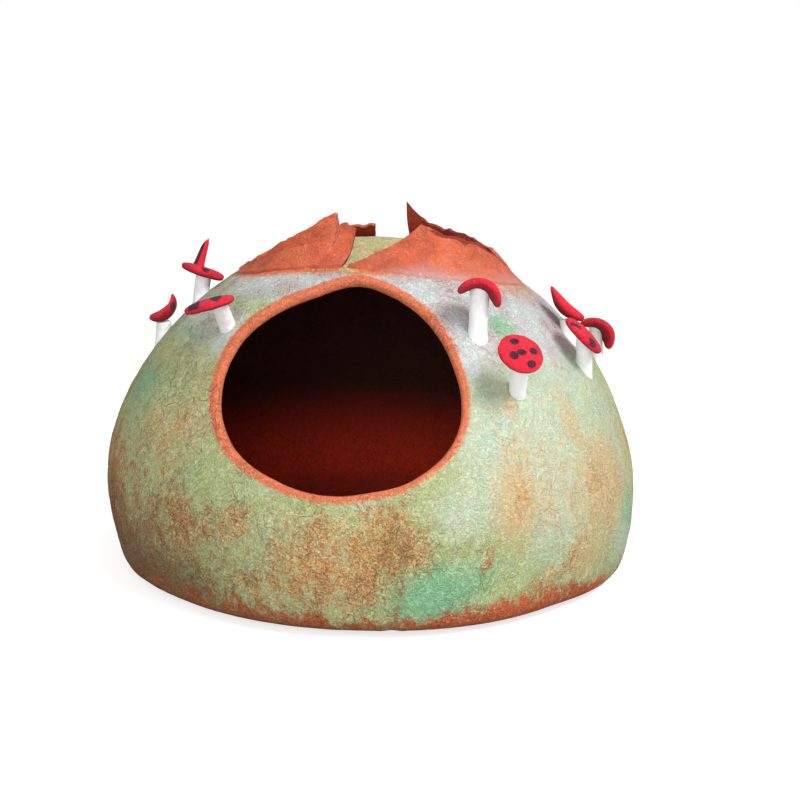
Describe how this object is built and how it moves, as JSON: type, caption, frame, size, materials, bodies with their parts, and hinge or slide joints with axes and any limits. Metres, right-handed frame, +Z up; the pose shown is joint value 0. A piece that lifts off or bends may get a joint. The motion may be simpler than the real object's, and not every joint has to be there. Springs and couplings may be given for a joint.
{
  "type": "felt cat cave",
  "caption": "Domed one-piece felt cave for a cat, flat underneath, with a round entrance in the front, felt petals standing on the crown and felt toadstools on its upper sides.",
  "frame": {"origin": "centre of the footprint, on the floor plane", "axes": "+Z up, entrance faces -Y, +X to the right when facing the entrance"},
  "size_m": [0.4979, 0.4981, 0.3345],
  "materials": {
    "felt_green": "matte wool felt",
    "felt_orange": "matte wool felt",
    "felt_red": "matte wool felt",
    "felt_white": "matte wool felt"
  },
  "bodies": {
    "root": {"cave_shell": "felt_green", "petal_back_left": "felt_orange", "petal_back_right": "felt_orange", "petal_front_left": "felt_orange", "petal_front_right": "felt_orange", "toadstool_cap_1": "felt_red", "toadstool_cap_2": "felt_red", "toadstool_cap_3": "felt_red", "toadstool_cap_4": "felt_red", "toadstool_cap_5": "felt_red", "toadstool_cap_6": "felt_red", "toadstool_cap_7": "felt_red", "toadstool_cap_8": "felt_red", "toadstool_stem_1": "felt_white", "toadstool_stem_2": "felt_white", "toadstool_stem_3": "felt_white", "toadstool_stem_4": "felt_white", "toadstool_stem_5": "felt_white", "toadstool_stem_6": "felt_white", "toadstool_stem_7": "felt_white", "toadstool_stem_8": "felt_white"}
  },
  "joints": []
}
